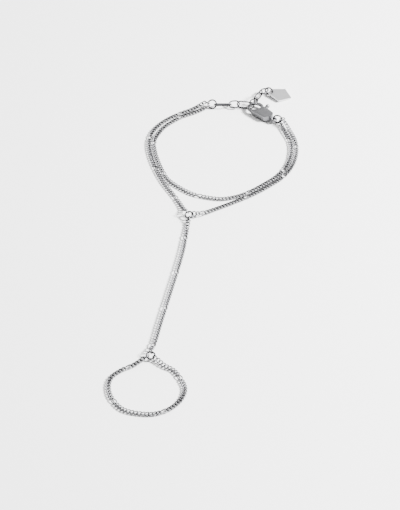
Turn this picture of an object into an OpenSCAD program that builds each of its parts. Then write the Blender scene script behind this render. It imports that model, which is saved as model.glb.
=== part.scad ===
// Hand chain bracelet: two wrist strands on a lobster clasp, a chain down the hand and a finger loop.
// It lies on a flat surface at z = 0. Millimetres, +Z up, +Y away from the finger loop.

/* [Whole bracelet] */
// Width of the wrist loop, between the middle lines of its outer strands
wrist_w = 52.3; // [50:0.1:57]
// Length of the wrist loop, from the hand ring to the first extender link
wrist_len = 63.4; // [60:0.1:68]
// Length of the hand chain's run, from ring to ring
hand_len = 69.9; // [62:0.1:78]
// Width of the finger loop, between its middle lines
finger_w = 23.9; // [22:0.1:26]
// Length of the finger loop, from its ring to the middle line of its far side
finger_len = 25.3; // [23:0.1:28]

/* [Curb chain] */
// Wire thickness of the curb links
wire_d = 0.36; // [0.3:0.02:0.4]
// Outer length of a short curb link
link_len = 2.15; // [2.1:0.05:2.4]
// Outer width of a short curb link
link_w = 1.6; // [1.5:0.05:1.8]
// Outer length of a long curb link
long_link_len = 3.4; // [3.0:0.1:4.0]
// Outer width of a long curb link
long_link_w = 1.65; // [1.6:0.05:1.75]
// Height of the twist that lets a curb link lie flat
link_twist = 0.62; // [0.56:0.02:0.7]
// Number of short links between two long ones
short_run = 13; // [8:1:16]
// Free space between two wires that pull on each other
wire_gap = 0.22; // [0.2:0.02:0.26]
// Outer diameter of the small round ring at each end of a chain
end_ring_d = 2.2; // [2.1:0.05:2.4]

/* [Jump rings] */
// Wire thickness of the jump rings
ring_wire_d = 0.55; // [0.4:0.05:0.6]
// Outer diameter of the jump rings at the hand and finger ends
ring_d = 3.2; // [3.0:0.1:3.6]
// Outer diameter of the two jump rings at the wrist
wrist_ring_d = 3.6; // [3.4:0.1:4.0]
// Outer diameter of the ring that holds the tag
tag_ring_d = 3.2; // [3.0:0.1:3.4]

/* [Extender] */
// Wire thickness of the extender links
ext_wire_d = 0.5; // [0.4:0.05:0.55]
// Outer width of the extender links
ext_w = 3.2; // [3.1:0.1:3.5]
// Outer length of the long extender links
ext_long_len = 6.6; // [6.0:0.1:7.0]
// Outer length of the short extender links between them
ext_short_len = 4.2; // [4.0:0.1:4.5]

/* [Clasp] */
// Thickness of the clasp body
clasp_t = 2.6; // [2.4:0.1:3.0]
// Radius of the round end of the body
body_r = 2.3; // [2.1:0.1:2.5]
// Radius of the hole in the clasp's tail
eye_hole_r = 0.5; // [0.45:0.05:0.6]
// Thickness of the bar round that hole
eye_bar_d = 0.8; // [0.7:0.1:1.0]
// Distance from the tail's hole to the middle of the hook
hook_reach = 9.5; // [9.2:0.1:10]
// Middle radius of the hook's bend
hook_r = 2.55; // [2.5:0.05:2.7]
// Thickness of the hook's bar
hook_bar_d = 1.1; // [1.0:0.1:1.2]
// Thickness of the lever plate
lever_t = 1.0; // [0.8:0.1:1.2]
// Width of the lever's arm
lever_w = 0.8; // [0.7:0.1:0.9]
// Diameter of the hinge pin
pin_d = 0.7; // [0.6:0.1:0.8]
// Free space round the pin in the lever's bore
pin_gap = 0.05; // [0.04:0.01:0.08]
// Free space above, below and behind the lever
lever_gap = 0.12; // [0.1:0.02:0.16]
// Diameter of the thumb knob on the lever
knob_d = 1.5; // [1.2:0.1:1.7]

/* [Tag] */
// Length of the tag
tag_len = 8.5; // [7.5:0.1:9.5]
// Widest width of the tag
tag_w = 7.8; // [7.0:0.1:8.6]
// Width of the tag's cut end, where its hole is
tag_end_w = 2.6; // [2.4:0.1:3.0]
// Distance from the widest line to the far corner
tag_nose = 3.7; // [3.2:0.1:4.2]
// Thickness of the tag
tag_t = 0.5; // [0.4:0.05:0.6]
// Diameter of the tag's hole
tag_hole_d = 1.3; // [1.2:0.05:1.4]

/* [Hidden] */

link_sides = 10;
wire_sides = 5;
tube_sides = 8;
tube_step = 4.4;
route_steps = 8;
eps = 0.01;

wire_r = wire_d / 2;
ring_wire_r = ring_wire_d / 2;
ext_wire_r = ext_wire_d / 2;
ring_r = ring_d / 2 - ring_wire_r;
wrist_ring_r = wrist_ring_d / 2 - ring_wire_r;
tag_ring_r = tag_ring_d / 2 - ring_wire_r;
end_ring_r = end_ring_d / 2 - wire_r;
ext_r = ext_w / 2 - ext_wire_r;
pull = wire_d + wire_gap;
ring_pull = ring_wire_r + wire_r + wire_gap;
round_reach = 2 * end_ring_r - ring_pull / 2 - pull / 2;
ext_pull = ext_wire_d + wire_gap;
ext_ring_pull = ext_wire_r + ring_wire_r + wire_gap;

// Directions
function unit(v) = v / norm(v);
function heading(turn, pitch) = [cos(turn) * cos(pitch), sin(turn) * cos(pitch), sin(pitch)];
function frame_at(dir, roll) =
    let (x = unit(dir), y = unit(cross([0, 0, 1], x)), z = cross(x, y))
    [x, cos(roll) * y + sin(roll) * z, cos(roll) * z - sin(roll) * y];
function place(q) = [q[0], q[1], q[2]];

// A round ring's seat is [x, y, z, lean away from the viewer, turn about +Z, middle radius]
function ring_x(seat) = [cos(seat[4]), sin(seat[4]), 0];
function ring_y(seat) = [-sin(seat[4]) * cos(seat[3]), cos(seat[4]) * cos(seat[3]), sin(seat[3])];
function on_ring(seat, a) = place(seat) + seat[5] * (cos(a) * ring_x(seat) + sin(a) * ring_y(seat));
function ring_along(seat, a) = cos(a) * ring_y(seat) - sin(a) * ring_x(seat);

// Places and routes are chosen for a wrist loop, a hand chain and a finger loop of these sizes
// from the rings that they start at, and are stretched from there to the named sizes
WRIST_CHOSEN = [52.3, 63.4];
HAND_CHOSEN = 69.9;
FINGER_CHOSEN = [23.9, 25.3];
hand_x = -6;
hand_y = 11.6;
finger_x = -17.9;
finger_y = hand_y - hand_len;
function on_wrist(p) = [
    hand_x + (p[0] - hand_x) * wrist_w / WRIST_CHOSEN[0],
    hand_y + (p[1] - hand_y) * wrist_len / WRIST_CHOSEN[1], p[2], p[3]
];
function on_hand(p) = [p[0], hand_y + (p[1] - hand_y) * hand_len / HAND_CHOSEN, p[2], p[3]];
function on_finger(p) = [
    finger_x + (p[0] - finger_x) * finger_w / FINGER_CHOSEN[0],
    finger_y + (p[1] - hand_y + HAND_CHOSEN) * finger_len / FINGER_CHOSEN[1], p[2], p[3]
];

right_ring_at = on_wrist([25.65, 65.6]);
RIGHT_RING = [right_ring_at[0], right_ring_at[1], wrist_ring_d / 2 + eps, 90, -10, wrist_ring_r];
HAND_RING = [hand_x, hand_y, 1.5, 15, 0, ring_r];
FINGER_RING = [finger_x, finger_y, 1.3, 15, 0, ring_r];

// The clasp lies flat: its own +X runs from the tail's hole on the right wrist ring to the hook
clasp_turn = 135;
eye_at = on_ring(RIGHT_RING, 180 + asin((RIGHT_RING[2] - clasp_t / 2) / wrist_ring_r));
mid_z = clasp_t / 2;
hook_r_in = hook_r - hook_bar_d / 2;
body_mid = [eye_hole_r + eye_bar_d + body_r - 0.15, 0];
hook_mid = [hook_reach, -0.5];
pivot = hook_mid + [-2.9, -1.1];
cheek_r = 1.5;
hub_r = 1.05;
knob_at = pivot + [0.5, -2.7];
tip_at = hook_mid + hook_r * [cos(-63), sin(-63)];
tip_face = -20;
tip_gap = 0.14;
tip_room = 3 * hook_bar_d;
slot_room = 2 * cheek_r;
thin_from = pivot[0] - 0.4;
clasp_end = hook_mid[0] + hook_r + hook_bar_d;
half_span = hook_r + hook_bar_d;
pin_len = 2.4;
function on_clasp(p, z) = let (x = heading(clasp_turn, 0), y = cross([0, 0, 1], x))
    [eye_at[0], eye_at[1], z] + p[0] * x + p[1] * y;

// An extender link is [half length, direction, roll, place of its end that is nearer the hook]
long_half = ext_long_len / 2 - ext_wire_r;
short_half = ext_short_len / 2 - ext_wire_r;
function link_mid(l) = l[3] + l[0] * l[1];
function next_end(l, dir) = l[3] + 2 * l[0] * l[1] - ext_pull / 2 * (l[1] + dir);

// The third link hangs on the hook, and two more lead back from it to the left wrist ring
hooked_end = on_clasp(hook_mid, ext_w / 2 + eps) + [-0.6, 0.85, 0];
link_3 = [long_half, heading(169, 0), 90, hooked_end];
link_2_dir = heading(178, -5);
link_2 = [short_half, link_2_dir, -25, next_end(link_3, link_2_dir)];
link_1_dir = heading(180, 0);
link_1 = [long_half, link_1_dir, 45, next_end(link_2, link_1_dir)];
left_ring_at = link_1[3] + (2 * long_half - ext_ring_pull + wrist_ring_r) * link_1_dir;
LEFT_RING = [left_ring_at[0], left_ring_at[1], 1.46, 50, 0, wrist_ring_r];

// The other links pass over the hook, from high on the hooked link's end, and lead to the tag
slip = 45;
slip_at = hooked_end + ext_r * ((1 - cos(slip)) * link_3[1] + sin(slip) * [0, 0, 1]);
link_4_dir = heading(74, 0);
link_4 = [short_half, link_4_dir, -12, slip_at - ext_pull * link_4_dir];
link_5_dir = heading(61, -5);
link_5 = [long_half, link_5_dir, 90, next_end(link_4, link_5_dir)];
link_6_dir = heading(57, -3);
link_6 = [short_half, link_6_dir, -12, next_end(link_5, link_6_dir)];
tag_ring_turn = -10;
tag_ring_at = link_6[3] + (2 * short_half - ext_ring_pull) * link_6_dir + tag_ring_r * heading(tag_ring_turn, 0);
TAG_RING = [tag_ring_at[0], tag_ring_at[1], tag_ring_d / 2 + eps, 90, tag_ring_turn, tag_ring_r];

// The tag hangs on its ring and touches the surface with its far corner
tag_turn = -20;
tag_hole_in = 0.98;
tag_hole_at = on_ring(TAG_RING, -23);
tag_tilt = asin((tag_hole_at[2] - tag_t / 2) / (tag_len - tag_hole_in));

// A chain's end is [ring seat, angle on the ring, turn of the chain's way out, roll of its small
// round ring]. The small ring's near wire lies behind the jump ring's wire.
function way_out(e) = let (t = ring_along(e[0], e[1]), h = heading(e[2], 0)) unit(h - (h * t) * t);
function held_at(e) = on_ring(e[0], e[1]) - ring_pull / 2 * way_out(e);
function left_at(e) = held_at(e) + round_reach * way_out(e);
function end_points(e, roll) = [for (p = [held_at(e), left_at(e)]) [p[0], p[1], p[2], roll]];

INNER_ENDS = [[LEFT_RING, 207, 207, 45], [RIGHT_RING, -33, -72, -5]];
OUTER_LEFT_ENDS = [[LEFT_RING, 163, 165, 45], [HAND_RING, 120, 115, 55]];
OUTER_RIGHT_ENDS = [[HAND_RING, 12, 15, 70], [RIGHT_RING, 12, -55, 5]];
HAND_ENDS = [[HAND_RING, -95, -95, 70], [FINGER_RING, 90, 90, 60]];
FINGER_ENDS = [[FINGER_RING, 208, 215, 50], [FINGER_RING, -38, -48, 75]];

// Routes between the ends: [x, y, z, roll of the links about the route]
INNER_ROUTE = [
    [-3.9, 71.3, 0.6, 0], [-8.9, 68.6, 0.5, 0], [-14.4, 63.4, 0.5, 0], [-17.1, 58.7, 0.5, 0],
    [-18.7, 53.8, 0.5, 0], [-18.3, 48.3, 0.5, 0], [-17.1, 42.5, 0.5, 0], [-15.3, 36.6, 0.5, 0],
    [-13.3, 32, 0.5, 0], [-9.2, 27.6, 0.5, 0], [-4.8, 24.2, 0.5, 0], [0, 22.4, 0.5, 0],
    [5.1, 21.5, 0.5, 0], [10.3, 22.7, 0.5, 0], [15.1, 25.4, 0.5, 0], [20.9, 30.3, 0.5, 0],
    [25.2, 34.7, 0.5, 0], [28.4, 40.5, 0.5, 0], [30, 47.7, 0.5, 0], [29.8, 54.2, 0.5, 0],
    [28.2, 59.5, 0.5, 15]
];
OUTER_LEFT_ROUTE = [
    [-4.6, 73.1, 0.8, 0], [-9.9, 70.3, 0.5, 0], [-15.3, 65.8, 0.5, 0],
    [-19.1, 60.1, 0.5, 0], [-20.5, 54, 0.5, 0], [-20.1, 48, 0.5, 0], [-18.8, 42, 0.5, 0],
    [-17, 36, 0.5, 0], [-14.4, 29.5, 0.5, 0], [-10.9, 22.6, 0.5, 0], [-8.1, 16.4, 0.7, -5]
];
OUTER_RIGHT_ROUTE = [
    [-1, 13.4, 0.8, 15], [3, 15.9, 0.5, 0], [9, 19.4, 0.5, 0], [16, 23.9, 0.5, 0],
    [22, 28.9, 0.5, 0], [26.6, 33.6, 0.5, 0], [30.1, 39.9, 0.5, 0],
    [31.8, 47.5, 0.5, 0], [31.6, 54.5, 0.5, 0], [29.9, 60.2, 0.8, 15]
];
HAND_ROUTE = [
    [-6.7, 6, 0.6, 5], [-7.2, 1, 0.5, -25], [-8, -6, 0.5, -35], [-9.6, -15, 0.5, -35],
    [-11.6, -25, 0.5, -35], [-13.4, -34, 0.5, -35], [-15.2, -43, 0.5, -35], [-16.4, -49.5, 0.5, -30],
    [-17.3, -53.3, 0.8, -20]
];
FINGER_ROUTE = [
    [-23, -61.9, 0.7, 0], [-26.9, -64.1, 0.5, 0], [-30.2, -67.6, 0.5, 0],
    [-30.9, -72.3, 0.5, 0], [-29.5, -77.2, 0.5, 0], [-26.1, -81.7, 0.5, 0], [-21, -83.5, 0.5, 0],
    [-16, -83.6, 0.5, 0], [-11.5, -81.4, 0.5, 0], [-8.1, -77.2, 0.5, 0], [-7, -72.3, 0.5, 0],
    [-8.6, -67.6, 0.5, 0], [-10.7, -64.1, 0.5, 0], [-13.6, -62.2, 0.7, -5]
];

// A smooth line through a route's points, with the distance along it
function curve_at(p, i, f) =
    let (n = len(p) - 1, a = p[max(i - 1, 0)], b = p[i], c = p[min(i + 1, n)], d = p[min(i + 2, n)])
    0.5 * (2 * b + (c - a) * f + (2 * a - 5 * b + 4 * c - d) * f * f + (3 * b - a - 3 * c + d) * f * f * f);
function smooth_route(p) = concat(
    [for (i = [0 : len(p) - 2], k = [0 : route_steps - 1]) curve_at(p, i, k / route_steps)],
    [p[len(p) - 1]]
);
function distances(p) = [
    for (i = 0, s = 0; i < len(p); i = i + 1, s = s + (i < len(p) ? norm(place(p[i]) - place(p[i - 1])) : 0)) s
];
// Tables of x, y, z and roll by distance, and the distances at which the curb links start and end
function tables(route, ends) =
    let (last = end_points(ends[1], 45 - ends[1][3]),
         q = smooth_route(concat(end_points(ends[0], ends[0][3] - 45), route, [last[1], last[0]])),
         s = distances(q), n = len(q) - 1)
    [for (k = [0 : 3]) [for (i = [0 : n]) [s[i], q[i][k]]], s[route_steps], s[n - route_steps]];
function spot(tab, s) = [for (k = [0 : 2]) lookup(s, tab[k])];

// Link kinds: [half length, half width, twist] of the wire's middle line
SHORT = [link_len / 2 - wire_r, link_w / 2 - wire_r, link_twist / 2];
LONG = [long_link_len / 2 - wire_r, long_link_w / 2 - wire_r, link_twist / 2];
ROUND = [end_ring_r, end_ring_r, 0];
function is_long(i, phase) = (i + phase) % (short_run + 1) == short_run;
function reach(i, phase) = 2 * (is_long(i, phase) ? LONG : SHORT)[0] - pull;
function run(n, phase) = n == 0 ? 0 : run(n - 1, phase) + reach(n - 1, phase);
function count_for(span, phase, n = 1) = run(n, phase) >= span ? n : count_for(span, phase, n + 1);

// One link's points about its own middle, with its wire swept round
function link_line(k, t) = [k[0] * cos(t), k[1] * sin(t), k[2] * sin(2 * t)];
function link_along(k, t) = unit([-k[0] * sin(t), k[1] * cos(t), 2 * k[2] * cos(2 * t)]);
function link_points(k) = [
    for (i = [0 : link_sides - 1])
        let (t = i * 360 / link_sides, m = link_line(k, t), d = link_along(k, t),
             u = unit(cross(d, [0, 0, 1])), v = cross(d, u))
        for (j = [0 : wire_sides - 1])
            m + wire_r * (cos(j * 360 / wire_sides) * u + sin(j * 360 / wire_sides) * v)
];
function link_faces(first) = [
    for (i = [0 : link_sides - 1], j = [0 : wire_sides - 1])
        let (i2 = (i + 1) % link_sides, j2 = (j + 1) % wire_sides)
        [first + i * wire_sides + j, first + i2 * wire_sides + j,
         first + i2 * wire_sides + j2, first + i * wire_sides + j2]
];
SHORT_POINTS = link_points(SHORT);
LONG_POINTS = link_points(LONG);
ROUND_POINTS = link_points(ROUND);

function set_at(points, f, middle) = [for (p = points) middle + p[0] * f[0] + p[1] * f[1] + p[2] * f[2]];
function flat(lists) = [for (l = lists, p = l) p];
function rest_z(k, roll) = wire_r + max([
    for (i = [0 : link_sides - 1])
        let (p = link_line(k, i * 360 / link_sides)) abs(p[1] * sin(roll) + p[2] * cos(roll))
]);
function lifted(p, low) = [p[0], p[1], max(p[2], low)];

function end_ring(e) = set_at(
    ROUND_POINTS, frame_at(way_out(e), e[3]), held_at(e) + (end_ring_r - ring_pull / 2) * way_out(e)
);
function end_rings(ends) = [end_ring(ends[0]), end_ring(ends[1])];

module links(list) {
    polyhedron(
        points = flat(list),
        faces = flat([for (i = [0 : len(list) - 1]) link_faces(i * link_sides * wire_sides)]),
        convexity = 10
    );
}

// A chain of curb links with a long link after every run of short ones
module curb_chain(route, ends, phase) {
    tab = tables(route, ends);
    span = tab[5] - tab[4];
    n = count_for(span, phase);
    fit = span / run(n, phase);
    joints = [for (i = 0, s = tab[4]; i <= n; s = s + reach(i, phase) * fit, i = i + 1) s];
    middle = [
        for (i = [0 : n - 1])
            let (long = is_long(i, phase), roll = lookup((joints[i] + joints[i + 1]) / 2, tab[3]),
                 low = rest_z(long ? LONG : SHORT, roll),
                 a = lifted(spot(tab, joints[i]), low), b = lifted(spot(tab, joints[i + 1]), low))
            set_at(long ? LONG_POINTS : SHORT_POINTS, frame_at(b - a, roll), (a + b) / 2)
    ];
    links(concat(middle, end_rings(ends)));
}

// A wrist strand is a flat tube of the chain's outline between its two small rings
module strand(route, ends) {
    tab = tables(route, ends);
    first = tab[4] + wire_r + pull;
    last = tab[5] - wire_r - pull;
    n = round((last - first) / tube_step);
    half_w = link_w / 2;
    half_t = link_twist / 2 + wire_r;
    rings = [
        for (i = [0 : n])
            let (s = first + (last - first) * i / n, f = frame_at(spot(tab, s + 0.5) - spot(tab, s - 0.5), 0),
                 m = lifted(spot(tab, s), half_t))
            [for (j = [0 : tube_sides - 1])
                let (t = (j + 0.5) * 360 / tube_sides) m + half_w * cos(t) * f[1] + half_t * sin(t) * f[2]]
    ];
    polyhedron(
        points = flat(rings),
        faces = concat(
            [[for (j = [0 : tube_sides - 1]) j]],
            [for (i = [0 : n - 1], j = [0 : tube_sides - 1])
                let (j2 = (j + 1) % tube_sides)
                [i * tube_sides + j, (i + 1) * tube_sides + j, (i + 1) * tube_sides + j2, i * tube_sides + j2]],
            [[for (j = [tube_sides - 1 : -1 : 0]) n * tube_sides + j]]
        ),
        convexity = 10
    );
    links(end_rings(ends));
}

module inner_strand() { color("silver") strand([for (p = INNER_ROUTE) on_wrist(p)], INNER_ENDS); }
module outer_strand_left() { color("silver") strand([for (p = OUTER_LEFT_ROUTE) on_wrist(p)], OUTER_LEFT_ENDS); }
module outer_strand_right() { color("silver") strand([for (p = OUTER_RIGHT_ROUTE) on_wrist(p)], OUTER_RIGHT_ENDS); }
module hand_chain() { color("silver") curb_chain([for (p = HAND_ROUTE) on_hand(p)], HAND_ENDS, 7); }
module finger_chain() { color("silver") curb_chain(finger_loop_points, FINGER_ENDS, 9); }

// A round ring of wire in its own plane
module wire_ring(mid_r, r, sides = 48, wire_sides = 24) {
    rotate_extrude($fn = sides) translate([mid_r, 0]) circle(r, $fn = wire_sides);
}
module jump_ring(seat) {
    color("silver") translate(place(seat)) rotate([0, 0, seat[4]]) rotate([seat[3], 0, 0])
        wire_ring(seat[5], ring_wire_r);
}

// An extender link: two half rings and two straight bars, long along its own X
module extender_link(l) {
    straight = l[0] - ext_r;
    pitch = asin(l[1][2]);
    turn = atan2(l[1][1], l[1][0]);
    color("silver") translate(link_mid(l)) rotate([0, -pitch, turn]) rotate([l[2], 0, 0]) {
        for (side = [0, 180]) rotate([0, 0, side]) {
            translate([straight, 0, 0]) rotate([0, 0, -90])
                rotate_extrude(angle = 180, $fn = 48) translate([ext_r, 0]) circle(ext_wire_r, $fn = 24);
            translate([-straight, ext_r, 0]) rotate([0, 90, 0])
                cylinder(r = ext_wire_r, h = 2 * straight, $fn = 24);
        }
    }
}

// The tag: a thin kite with its pointed end cut short, its hole at its own origin
module tag_shape() {
    polygon([
        [-tag_hole_in, -tag_end_w / 2], [tag_len - tag_hole_in - tag_nose, -tag_w / 2],
        [tag_len - tag_hole_in, 0],
        [tag_len - tag_hole_in - tag_nose, tag_w / 2], [-tag_hole_in, tag_end_w / 2]
    ]);
}
module tag() {
    color("lightgray") translate(tag_hole_at) rotate([0, tag_tilt, tag_turn])
        translate([0, 0, -tag_t / 2]) difference() {
            linear_extrude(tag_t) tag_shape();
            translate([0, 0, -eps]) cylinder(d = tag_hole_d, h = tag_t + 2 * eps, $fn = 32);
        }
}

// The clasp's outline in plan, from its round body to where the hook's bar starts
function tangent(c1, r1, c2, r2, side) =
    let (d = c2 - c1, a = atan2(d[1], d[0]) + side * acos((r1 - r2) / norm(d)), n = [cos(a), sin(a)])
    [c1 + r1 * n, c2 + r2 * n];
module clasp_plan() {
    outer = tangent(body_mid, body_r, hook_mid, hook_r + hook_bar_d / 4, 1);
    inner = tangent(body_mid, body_r, pivot, cheek_r, -1);
    difference() {
        union() {
            translate(body_mid) circle(body_r, $fn = 40);
            translate(pivot) circle(cheek_r, $fn = 28);
            polygon([outer[0], outer[1], hook_mid, pivot, inner[1], inner[0], body_mid]);
        }
        translate(hook_mid) circle(hook_r_in, $fn = 40);
    }
}

// The room that the lever needs between the body's two cheeks
module lever_slot() {
    h = lever_t + 2 * lever_gap;
    arm_side = lever_w / 2 + lever_gap;
    translate([pivot[0], pivot[1], mid_z - h / 2]) {
        cylinder(r = hub_r + lever_gap, h = h, $fn = 28);
        translate([-arm_side, -slot_room, 0]) cube([arm_side + slot_room, slot_room, h]);
        translate([0, -slot_room, 0]) cube([slot_room, slot_room + hub_r, h]);
    }
}

// The pin's ends stand just proud of the two cheeks
module pin(gap, length) {
    translate([pivot[0], pivot[1], mid_z - length / 2]) cylinder(d = pin_d + 2 * gap, h = length, $fn = 32);
}

// A block on one side of the hook's mouth, from a distance past its tip
module tip_block(from) {
    translate([tip_at[0], tip_at[1], 0]) rotate([0, 0, tip_face])
        translate([from, -tip_room / 2, -tip_room / 2]) cube(tip_room);
}

// Half the body's thickness by the distance from its middle line
CROWN = [for (row = [[-3.4, 0.12], [-2.5, 0.55], [-1.8, 0.8], [-1.2, 0.94], [-0.6, 1], [0.6, 1], [1.2, 0.94], [1.8, 0.8], [2.5, 0.55], [3.4, 0.12]])
    [row[0], row[1] * mid_z]];
module clasp_body() {
    color("darkgray") translate([eye_at[0], eye_at[1], 0]) rotate([0, 0, clasp_turn]) {
        difference() {
            intersection() {
                translate([0, 0, -eps]) linear_extrude(clasp_t + 2 * eps) clasp_plan();
                // The body thins towards the hook's bar
                translate([0, half_span, mid_z]) rotate([90, 0, 0]) linear_extrude(2 * half_span) polygon([
                    [0, -mid_z - eps], [thin_from, -mid_z - eps],
                    [hook_mid[0], -hook_bar_d / 2], [clasp_end, -hook_bar_d / 2],
                    [clasp_end, hook_bar_d / 2], [hook_mid[0], hook_bar_d / 2],
                    [thin_from, mid_z + eps], [0, mid_z + eps]
                ]);
                // Its two faces are crowned across
                translate([0, 0, mid_z]) rotate([90, 0, 90]) linear_extrude(clasp_end)
                    polygon(concat(CROWN, [for (i = [len(CROWN) - 1 : -1 : 0]) [CROWN[i][0], -CROWN[i][1]]]));
            }
            lever_slot();
            pin(eps, clasp_t + 2 * eps);
        }
        translate([0, 0, mid_z]) wire_ring(eye_hole_r + eye_bar_d / 2, eye_bar_d / 2, 28, 14);
        difference() {
            translate([hook_mid[0], hook_mid[1], mid_z]) rotate([0, 0, -80])
                rotate_extrude(angle = 176, $fn = 56) translate([hook_r, 0]) circle(hook_bar_d / 2, $fn = 14);
            translate([0, 0, mid_z]) tip_block(-tip_room);
        }
    }
}
module clasp_pin() {
    color("darkgray") translate([eye_at[0], eye_at[1], 0]) rotate([0, 0, clasp_turn]) pin(0, pin_len);
}

module clasp_lever() {
    color("silver") translate([eye_at[0], eye_at[1], 0]) rotate([0, 0, clasp_turn])
        translate([0, 0, mid_z - lever_t / 2]) {
            difference() {
                union() {
                    translate(pivot) cylinder(r = hub_r, h = lever_t, $fn = 48);
                    translate(hook_mid) rotate([0, 0, -155]) rotate_extrude(angle = 95, $fn = 96)
                        translate([hook_r - lever_w / 2, 0]) square([lever_w, lever_t]);
                    translate(pivot) rotate([0, 0, atan2(knob_at[1] - pivot[1], knob_at[0] - pivot[0])])
                        translate([0, -lever_w / 2, 0]) cube([norm(knob_at - pivot), lever_w, lever_t]);
                }
                translate([pivot[0], pivot[1], -eps]) cylinder(d = pin_d + 2 * pin_gap, h = lever_t + 2 * eps, $fn = 32);
                tip_block(-tip_gap);
            }
            translate([knob_at[0], knob_at[1], lever_t / 2]) sphere(d = knob_d, $fn = 32);
        }
}

// The middle of the whole part stands over the origin, to about 0.1 mm
finger_loop_points = [for (p = FINGER_ROUTE) on_finger(p)];
tag_top = tag_hole_at[1] + (tag_len - tag_hole_in - tag_nose) * sin(tag_turn) * cos(tag_tilt) + tag_w / 2 * cos(tag_turn);
centre = [
    (min([for (p = finger_loop_points) p[0]]) + max([for (p = OUTER_RIGHT_ROUTE) on_wrist(p)[0]])) / 2,
    (min([for (p = finger_loop_points) p[1]]) - link_w / 2 + tag_top) / 2
];
module centred() { translate([-centre[0], -centre[1], 0]) children(); }

centred() inner_strand();
centred() outer_strand_left();
centred() outer_strand_right();
centred() hand_chain();
centred() finger_chain();
centred() jump_ring(LEFT_RING);  // wrist_ring_left
centred() jump_ring(RIGHT_RING);  // wrist_ring_right
centred() jump_ring(HAND_RING);  // hand_ring
centred() jump_ring(FINGER_RING);  // finger_ring
centred() extender_link(link_1);  // extender_link_1
centred() extender_link(link_2);  // extender_link_2
centred() extender_link(link_3);  // extender_link_3
centred() extender_link(link_4);  // extender_link_4
centred() extender_link(link_5);  // extender_link_5
centred() extender_link(link_6);  // extender_link_6
centred() jump_ring(TAG_RING);  // tag_ring
centred() tag();
centred() clasp_body();
centred() clasp_pin();
centred() clasp_lever();
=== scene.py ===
import math

import bmesh
import bpy
from mathutils import Matrix, Vector


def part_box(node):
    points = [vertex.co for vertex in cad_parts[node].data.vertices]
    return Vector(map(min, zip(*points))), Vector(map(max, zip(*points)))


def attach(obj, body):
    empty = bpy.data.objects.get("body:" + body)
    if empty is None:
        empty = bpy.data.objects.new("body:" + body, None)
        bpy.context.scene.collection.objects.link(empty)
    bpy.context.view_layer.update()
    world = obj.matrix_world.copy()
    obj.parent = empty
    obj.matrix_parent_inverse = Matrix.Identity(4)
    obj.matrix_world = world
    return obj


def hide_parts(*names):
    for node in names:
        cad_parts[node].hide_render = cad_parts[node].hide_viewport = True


mm = 0.001

print("stage: frame")
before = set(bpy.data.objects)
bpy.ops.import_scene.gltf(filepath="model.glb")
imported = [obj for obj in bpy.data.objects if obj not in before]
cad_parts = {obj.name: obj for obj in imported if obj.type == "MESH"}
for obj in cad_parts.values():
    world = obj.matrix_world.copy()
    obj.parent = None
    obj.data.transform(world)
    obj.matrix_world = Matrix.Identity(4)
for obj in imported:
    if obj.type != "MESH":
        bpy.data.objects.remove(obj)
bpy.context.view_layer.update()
scene = bpy.context.scene

# View, in mm and degrees; the lens follows from its length in pixels of the picture
cameraSpec = {
    "target": (-2.75, -8.18, 0.0),
    "distance": 720.0,
    "elevation": 40.5,
    "focalPixels": 2149.77,
    "pixelsHigh": 510,
    "sensorHeight": 24.0,
    "nearest": 10.0,
    "farthest": 20000.0,
}

print("stage: camera")
cameraData = bpy.data.cameras.new("camera")
cameraData.sensor_fit = "VERTICAL"
cameraData.sensor_height = cameraSpec["sensorHeight"]
cameraData.lens = cameraSpec["sensorHeight"] * cameraSpec["focalPixels"] / cameraSpec["pixelsHigh"]
cameraData.clip_start = cameraSpec["nearest"] * mm
cameraData.clip_end = cameraSpec["farthest"] * mm
cameraData.dof.use_dof = False
camera = bpy.data.objects.new("camera", cameraData)
scene.collection.objects.link(camera)
rise = math.radians(cameraSpec["elevation"])
away = Vector((0, -math.cos(rise), math.sin(rise)))
camera.location = (Vector(cameraSpec["target"]) + away * cameraSpec["distance"]) * mm
camera.rotation_euler = (-away).to_track_quat("-Z", "Y").to_euler()
scene.camera = camera

# Metals: colour, roughness, how much it varies, size of the grain in mm and depth of its bump.
# The real grain is some hundredths of a mm and wouldn't show, so it is drawn coarser.
metalSpec = {
    # Curb chain, machine-made and dipped in dark rhodium: dark metal with small soft glints
    "darkPlate": {"colour": "#606062", "roughness": 0.38, "vary": 0.06, "grain": 1.1, "bump": 0.02},
    # Drawn wire of the rings and the extender, same plating but its colour a little darker as
    # painted shade for the darker reflections of the rings, with clear glints
    "shadedWire": {"colour": "#424244", "roughness": 0.36, "vary": 0.06, "grain": 1.1, "bump": 0.02},
    # Cast and tumbled clasp, plated: mid grey with a broad soft sheen
    "satinCast": {"colour": "#767678", "roughness": 0.44, "vary": 0.1, "grain": 1.4, "bump": 0.05},
    # Stamped and matt-finished plate: pale, even and without glints
    "satinPlate": {"colour": "#d2d2d3", "roughness": 0.36, "vary": 0.08, "grain": 2, "bump": 0.03},
}
grainDetail = 3.0
bumpDepth = 0.2  # mm


def linearColour(text):
    values = [int(text[i:i + 2], 16) / 255 for i in (1, 3, 5)]
    linear = [v / 12.92 if v <= 0.04045 else ((v + 0.055) / 1.055) ** 2.4 for v in values]
    return (*linear, 1.0)


def addNode(tree, kind, inputs=None, **settings):
    node = tree.nodes.new(kind)
    for key, value in settings.items():
        setattr(node, key, value)
    for key, value in (inputs or {}).items():
        if isinstance(value, bpy.types.NodeSocket):
            tree.links.new(value, node.inputs[key])
        else:
            node.inputs[key].default_value = value
    return node


def newMaterial(name):
    material = bpy.data.materials.new(name)
    material.use_nodes = True
    tree = material.node_tree
    tree.nodes.clear()
    return material, tree


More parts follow.
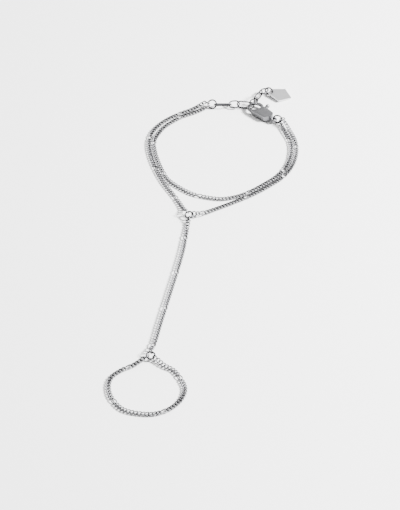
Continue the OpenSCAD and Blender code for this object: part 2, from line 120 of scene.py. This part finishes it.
def metalMaterial(name):
    spec = metalSpec[name]
    material, tree = newMaterial(name)
    place = addNode(tree, "ShaderNodeTexCoord").outputs["Object"]
    noise = addNode(tree, "ShaderNodeTexNoise", {
        "Vector": place, "Scale": 1 / (spec["grain"] * mm), "Detail": grainDetail,
    })
    rough = addNode(tree, "ShaderNodeMapRange", {
        "Value": noise.outputs["Fac"],
        "To Min": spec["roughness"] - spec["vary"] / 2,
        "To Max": spec["roughness"] + spec["vary"] / 2,
    })
    bump = addNode(tree, "ShaderNodeBump", {
        "Height": noise.outputs["Fac"], "Strength": spec["bump"], "Distance": bumpDepth * mm,
    })
    shader = addNode(tree, "ShaderNodeBsdfPrincipled", {
        "Base Color": linearColour(spec["colour"]), "Metallic": 1.0,
        "Roughness": rough.outputs["Result"], "Normal": bump.outputs["Normal"],
    })
    addNode(tree, "ShaderNodeOutputMaterial", {"Surface": shader.outputs["BSDF"]})
    return material


print("stage: materials")
metals = {name: metalMaterial(name) for name in metalSpec}

# Curb links, in mm: at the CAD source's spacing, but wire to wire, where the solids stand clear.
# Twist is how far the wire winds up and down, shortRun the short links between two long ones,
# endRing the small round ring at each end, filed the share of the height that the filing leaves.
linkSpec = {
    "wire": 0.38, "length": 1.99, "width": 1.76, "longLength": 3.24, "longWidth": 1.8,
    "twist": 0.4, "shortRun": 13, "gap": 0.02, "endRing": 2.2, "ringWire": 0.55,
    "sides": 14, "wireSides": 6, "filed": 0.9,
}

# Jump rings: lean away from the viewer, turn and middle radius
ringSpec = {
    "wrist_ring_left": {"lean": 50, "turn": 0, "radius": 1.525},
    "wrist_ring_right": {"lean": 90, "turn": -10, "radius": 1.525},
    "hand_ring": {"lean": 15, "turn": 0, "radius": 1.325},
    "finger_ring": {"lean": 15, "turn": 0, "radius": 1.325},
}

# Each chain: its two ends (ring, angle on it, way out, roll of the small ring) and its route
# between them (x, y, z and roll), in mm, measured from where the hand ring stands at handRingAt
handRingAt = (-6, 11.6)
chainSpec = {
    "innerStrand": {
        "node": "inner_strand", "phase": 5,
        "ends": [("wrist_ring_left", 207, 207, 45), ("wrist_ring_right", -33, -72, -5)],
        "route": [
            (-3.9, 71.3, 0.6, 0), (-8.9, 68.6, 0.5, 0), (-14.4, 63.4, 0.5, 0),
            (-17.1, 58.7, 0.5, 0), (-18.7, 53.8, 0.5, 0), (-18.3, 48.3, 0.5, 0),
            (-17.1, 42.5, 0.5, 0), (-15.3, 36.6, 0.5, 0), (-13.3, 32, 0.5, 0), (-9.2, 27.6, 0.5, 0),
            (-4.8, 24.2, 0.5, 0), (0, 22.4, 0.5, 0), (5.1, 21.5, 0.5, 0), (10.3, 22.7, 0.5, 0),
            (15.1, 25.4, 0.5, 0), (20.9, 30.3, 0.5, 0), (25.2, 34.7, 0.5, 0), (28.4, 40.5, 0.5, 0),
            (30, 47.7, 0.5, 0), (29.8, 54.2, 0.5, 0), (28.2, 59.5, 0.5, 15),
        ],
    },
    "outerStrandLeft": {
        "node": "outer_strand_left", "phase": 5,
        "ends": [("wrist_ring_left", 163, 165, 45), ("hand_ring", 120, 115, 55)],
        "route": [
            (-4.6, 73.1, 0.8, 0), (-9.9, 70.3, 0.5, 0), (-15.3, 65.8, 0.5, 0),
            (-19.1, 60.1, 0.5, 0), (-20.5, 54, 0.5, 0), (-20.1, 48, 0.5, 0), (-18.8, 42, 0.5, 0),
            (-17, 36, 0.5, 0), (-14.4, 29.5, 0.5, 0), (-10.9, 22.6, 0.5, 0), (-8.1, 16.4, 0.7, -5),
        ],
    },
    "outerStrandRight": {
        "node": "outer_strand_right", "phase": 12,
        "ends": [("hand_ring", 12, 15, 70), ("wrist_ring_right", 12, -55, 5)],
        "route": [
            (-1, 13.4, 0.8, 15), (3, 15.9, 0.5, 0), (9, 19.4, 0.5, 0), (16, 23.9, 0.5, 0),
            (22, 28.9, 0.5, 0), (26.6, 33.6, 0.5, 0), (30.1, 39.9, 0.5, 0), (31.8, 47.5, 0.5, 0),
            (31.6, 54.5, 0.5, 0), (29.9, 60.2, 0.8, 15),
        ],
    },
    "handChain": {
        "node": "hand_chain", "phase": 7,
        "ends": [("hand_ring", -95, -95, 70), ("finger_ring", 90, 90, 60)],
        "route": [
            (-6.7, 6, 0.6, 5), (-7.2, 1, 0.5, -25), (-8, -6, 0.5, -35), (-9.6, -15, 0.5, -35),
            (-11.6, -25, 0.5, -35), (-13.4, -34, 0.5, -35), (-15.2, -43, 0.5, -35),
            (-16.4, -49.5, 0.5, -30), (-17.3, -53.3, 0.8, -20),
        ],
    },
    "fingerChain": {
        "node": "finger_chain", "phase": 9,
        "ends": [("finger_ring", 208, 215, 50), ("finger_ring", -38, -48, 75)],
        "route": [
            (-23, -61.9, 0.7, 0), (-26.9, -64.1, 0.5, 0), (-30.2, -67.6, 0.5, 0),
            (-30.9, -72.3, 0.5, 0), (-29.5, -77.2, 0.5, 0), (-26.1, -81.7, 0.5, 0),
            (-21, -83.5, 0.5, 0), (-16, -83.6, 0.5, 0), (-11.5, -81.4, 0.5, 0),
            (-8.1, -77.2, 0.5, 0), (-7, -72.3, 0.5, 0), (-8.6, -67.6, 0.5, 0),
            (-10.7, -64.1, 0.5, 0), (-13.6, -62.2, 0.7, -5),
        ],
    },
}
routeSteps = 8  # straight pieces between two points of a route
restPoints = 10  # places round a link where its lowest point is looked for
curbTurn = 45  # a curb link's roll against the small round ring beside it


# Directions and rings
def heading(turn):
    return Vector((math.cos(math.radians(turn)), math.sin(math.radians(turn)), 0))


def frameAt(direction, roll):
    x = direction.normalized()
    y = Vector((0, 0, 1)).cross(x).normalized()
    z = x.cross(y)
    c, s = math.cos(math.radians(roll)), math.sin(math.radians(roll))
    return x, c * y + s * z, c * z - s * y


def ringAxes(name):
    spec = ringSpec[name]
    c, s = math.cos(math.radians(spec["lean"])), math.sin(math.radians(spec["lean"]))
    along = heading(spec["turn"])
    return along, Vector((-along.y * c, along.x * c, s))


def ringMiddle(name):
    low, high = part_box(name)
    return (Vector(low) + Vector(high)) / 2 / mm


def onRing(name, angle):
    x, y = ringAxes(name)
    a = math.radians(angle)
    return ringMiddle(name) + ringSpec[name]["radius"] * (math.cos(a) * x + math.sin(a) * y)


def wayOut(end):
    name, angle, turn = end[:3]
    x, y = ringAxes(name)
    a = math.radians(angle)
    along = math.cos(a) * y - math.sin(a) * x
    out = heading(turn)
    return (out - out.dot(along) * along).normalized()


wireR = linkSpec["wire"] / 2
endRingR = linkSpec["endRing"] / 2 - wireR
pull = linkSpec["wire"] + linkSpec["gap"]
ringPull = linkSpec["ringWire"] / 2 + wireR + linkSpec["gap"]
roundReach = 2 * endRingR - ringPull / 2 - pull / 2


# Where an end's small ring hangs on its jump ring, and where the first curb link takes over
def heldAt(end):
    return onRing(end[0], end[1]) - ringPull / 2 * wayOut(end)


def leftAt(end):
    return heldAt(end) + roundReach * wayOut(end)


# Link kinds: half length, half width and half twist of the wire's middle line
halfTwist = linkSpec["twist"] / 2
kinds = {
    "short": (linkSpec["length"] / 2 - wireR, linkSpec["width"] / 2 - wireR, halfTwist),
    "long": (linkSpec["longLength"] / 2 - wireR, linkSpec["longWidth"] / 2 - wireR, halfTwist),
    "round": (endRingR, endRingR, 0.0),
}


def linkLine(kind, t):
    a, b, c = kinds[kind]
    return Vector((a * math.cos(t), b * math.sin(t), c * math.sin(2 * t)))


def linkAlong(kind, t):
    a, b, c = kinds[kind]
    return Vector((-a * math.sin(t), b * math.cos(t), 2 * c * math.cos(2 * t))).normalized()


def restHeight(kind, roll):
    r = math.radians(roll)
    points = [linkLine(kind, i * math.tau / restPoints) for i in range(restPoints)]
    return wireR + max(abs(p.y * math.sin(r) + p.z * math.cos(r)) for p in points)


# A plain ring of wire is bent onto a link's middle line, and its top and bottom are filed flat
def linkMesh(kind):
    shape = bmesh.new()
    circle = bmesh.ops.create_circle(shape, segments=linkSpec["wireSides"], radius=wireR)
    bmesh.ops.transform(
        shape, verts=circle["verts"],
        matrix=Matrix.Translation((1, 0, 0)) @ Matrix.Rotation(math.pi / 2, 4, "X"),
    )
    bmesh.ops.spin(
        shape, geom=shape.verts[:] + shape.edges[:], angle=math.tau, steps=linkSpec["sides"],
        axis=(0, 0, 1), cent=(0, 0, 0), use_merge=True,
    )
    twist = kinds[kind][2]
    limit = (twist + wireR) * linkSpec["filed"]
    for v in shape.verts:
        t = math.atan2(v.co.y, v.co.x)
        out, up = math.hypot(v.co.x, v.co.y) - 1, v.co.z
        along = linkAlong(kind, t)
        side = along.cross(Vector((0, 0, 1))).normalized()
        v.co = linkLine(kind, t) + out * side + up * side.cross(along)
        if twist > 0:
            v.co.z = max(-limit, min(limit, v.co.z))
    bmesh.ops.recalc_face_normals(shape, faces=shape.faces)
    mesh = bpy.data.meshes.new("link_" + kind)
    shape.to_mesh(mesh)
    shape.free()
    return mesh


# A soft curve through all points of a route
def smoothRoute(points):
    result = []
    last = len(points) - 1
    for i in range(last):
        a, b = points[max(i - 1, 0)], points[i]
        c, d = points[i + 1], points[min(i + 2, last)]
        for k in range(routeSteps):
            f = k / routeSteps
            result.append([
                0.5 * (2 * b[j] + (c[j] - a[j]) * f
                       + (2 * a[j] - 5 * b[j] + 4 * c[j] - d[j]) * f * f
                       + (3 * b[j] - a[j] - 3 * c[j] + d[j]) * f ** 3)
                for j in range(4)
            ])
    return result + [list(points[last])]


# Place and roll at the distance s along a route
def lookup(table, distances, s):
    for i in range(1, len(distances)):
        if s <= distances[i] or i == len(distances) - 1:
            f = (s - distances[i - 1]) / (distances[i] - distances[i - 1])
            f = max(0.0, min(1.0, f))
            return [a + (b - a) * f for a, b in zip(table[i - 1], table[i])]


def isLong(i, phase):
    return (i + phase) % (linkSpec["shortRun"] + 1) == linkSpec["shortRun"]


def reach(i, phase):
    return 2 * kinds["long" if isLong(i, phase) else "short"][0] - pull


# Kind, middle and axes of every link of a chain, its two small end rings last
def linkPlaces(spec):
    first, last = spec["ends"]
    start = [list(p) + [first[3] - curbTurn] for p in (heldAt(first), leftAt(first))]
    stop = [list(p) + [curbTurn - last[3]] for p in (leftAt(last), heldAt(last))]
    shift = ringMiddle("hand_ring") - Vector((*handRingAt, 0))
    between = [(x + shift.x, y + shift.y, z, roll) for x, y, z, roll in spec["route"]]
    table = smoothRoute(start + between + stop)
    distances = [0.0]
    for p, q in zip(table, table[1:]):
        distances.append(distances[-1] + math.dist(p[:3], q[:3]))
    begin, finish = distances[routeSteps], distances[-1 - routeSteps]
    count, covered = 0, 0.0
    while covered < finish - begin:
        covered += reach(count, spec["phase"])
        count += 1
    fit = (finish - begin) / covered
    places, s = [], begin
    for i in range(count):
        kind = "long" if isLong(i, spec["phase"]) else "short"
        e = s + reach(i, spec["phase"]) * fit
        roll = lookup(table, distances, (s + e) / 2)[3]
        low = restHeight(kind, roll)
        a, b = [Vector(lookup(table, distances, d)[:3]) for d in (s, e)]
        a.z, b.z = max(a.z, low), max(b.z, low)
        places.append((kind, (a + b) / 2, frameAt(b - a, roll)))
        s = e
    for end in spec["ends"]:
        out = wayOut(end)
        middle = heldAt(end) + (endRingR - ringPull / 2) * out
        places.append(("round", middle, frameAt(out, end[3])))
    return places


def chainPiece(name, spec, linkMeshes):
    shape = bmesh.new()
    for kind, middle, axes in linkPlaces(spec):
        before = len(shape.verts)
        shape.from_mesh(linkMeshes[kind])
        shape.verts.ensure_lookup_table()
        turn = Matrix(axes).transposed().to_4x4()
        bmesh.ops.transform(
            shape, verts=shape.verts[before:],
            matrix=Matrix.Scale(mm, 4) @ Matrix.Translation(middle) @ turn,
        )
    for face in shape.faces:
        face.smooth = True
    mesh = bpy.data.meshes.new(name)
    shape.to_mesh(mesh)
    shape.free()
    mesh.materials.append(metals["darkPlate"])
    piece = bpy.data.objects.new(name, mesh)
    scene.collection.objects.link(piece)
    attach(piece, "bracelet")
    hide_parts(spec["node"])
    return piece


print("stage: chains")
linkMeshes = {kind: linkMesh(kind) for kind in kinds}
for name, spec in chainSpec.items():
    piece = chainPiece(name, spec, linkMeshes)
    print("  " + name, len(piece.data.polygons), "faces")

# Finish of the CAD pieces: metal, angle in degrees over which an edge stays sharp, and width of
# the soft edge in mm. A piece that isn't named is drawn wire.
finishSpec = {
    "clasp_body": {"metal": "satinCast", "sharpOver": 180, "softEdge": 0.06},
    "clasp_pin": {"metal": "satinCast", "sharpOver": 32, "softEdge": 0},
    "clasp_lever": {"metal": "satinCast", "sharpOver": 32, "softEdge": 0.08},
    "tag": {"metal": "satinPlate", "sharpOver": 32, "softEdge": 0.06},
}
# Drawn wire takes the darker copy of the plating, its colour painted shade
wireFinish = {"metal": "shadedWire", "sharpOver": 32, "softEdge": 0}
softOver = 32  # degrees over which an edge is softened
softSteps = 2

print("stage: finishes")
for name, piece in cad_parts.items():
    spec = finishSpec.get(name, wireFinish)
    piece.data.materials.clear()
    piece.data.materials.append(metals[spec["metal"]])
    for face in piece.data.polygons:
        face.use_smooth = True
    piece.data.set_sharp_from_angle(angle=math.radians(spec["sharpOver"]))
    if spec["softEdge"]:
        bevel = piece.modifiers.new("softEdge", "BEVEL")
        bevel.width = spec["softEdge"] * mm
        bevel.segments = softSteps
        bevel.limit_method = "ANGLE"
        bevel.angle_limit = math.radians(softOver)

# Surface, lights and sky: places and sizes in mm, light power in watts. The surface lies a little
# below the underside. The sky goes from low to high as a direction nears towards, its share of it
# running between from and to.
lightSpec = {
    "key": {"place": (740, 60, 560), "size": 200, "power": 70, "colour": "#ffffff"},
    "fill": {"place": (0, 160, 560), "size": 200, "power": 1, "colour": "#ffffff"},
}
worldSpec = {
    "high": "#ffffff", "low": "#101012", "towards": (0.25, 0.65, 0.72), "from": -0.1, "to": 0.95,
    "strength": 1.3,
}
surfaceSpec = {"colour": "#efefef", "roughness": 0.6, "half": 900.0, "below": 0.01}


def surfaceMaterial():
    material, tree = newMaterial("paleSurface")
    shader = addNode(tree, "ShaderNodeBsdfPrincipled", {
        "Base Color": linearColour(surfaceSpec["colour"]), "Roughness": surfaceSpec["roughness"],
    })
    addNode(tree, "ShaderNodeOutputMaterial", {"Surface": shader.outputs["BSDF"]})
    return material


print("stage: surface and lights")
surfaceShape = bmesh.new()
bmesh.ops.create_grid(surfaceShape, x_segments=1, y_segments=1, size=surfaceSpec["half"] * mm)
surfaceMesh = bpy.data.meshes.new("surface")
surfaceShape.to_mesh(surfaceMesh)
surfaceShape.free()
surfaceMesh.materials.append(surfaceMaterial())
surface = bpy.data.objects.new("surface", surfaceMesh)
surface.location = (0, 0, -surfaceSpec["below"] * mm)
scene.collection.objects.link(surface)

for name, spec in lightSpec.items():
    light = bpy.data.lights.new(name, "AREA")
    light.size = spec["size"] * mm
    light.energy = spec["power"]
    light.color = linearColour(spec["colour"])[:3]
    lamp = bpy.data.objects.new(name, light)
    lamp.location = Vector(spec["place"]) * mm
    lamp.rotation_euler = (-Vector(spec["place"])).to_track_quat("-Z", "Y").to_euler()
    scene.collection.objects.link(lamp)

world = bpy.data.worlds.new("world")
world.use_nodes = True
scene.world = world
tree = world.node_tree
tree.nodes.clear()
side = addNode(tree, "ShaderNodeVectorMath", {
    0: addNode(tree, "ShaderNodeTexCoord").outputs["Generated"], 1: worldSpec["towards"],
}, operation="DOT_PRODUCT").outputs["Value"]
blend = addNode(tree, "ShaderNodeMapRange", {
    "Value": side, "From Min": worldSpec["from"], "From Max": worldSpec["to"],
}, interpolation_type="SMOOTHSTEP")
colour = addNode(tree, "ShaderNodeMix", {
    "Factor": blend.outputs["Result"],
    "A": linearColour(worldSpec["low"]), "B": linearColour(worldSpec["high"]),
}, data_type="RGBA")
glow = addNode(tree, "ShaderNodeBackground", {
    "Color": colour.outputs["Result"], "Strength": worldSpec["strength"],
})
addNode(tree, "ShaderNodeOutputWorld", {"Surface": glow.outputs["Background"]})

bpy.context.view_layer.update()
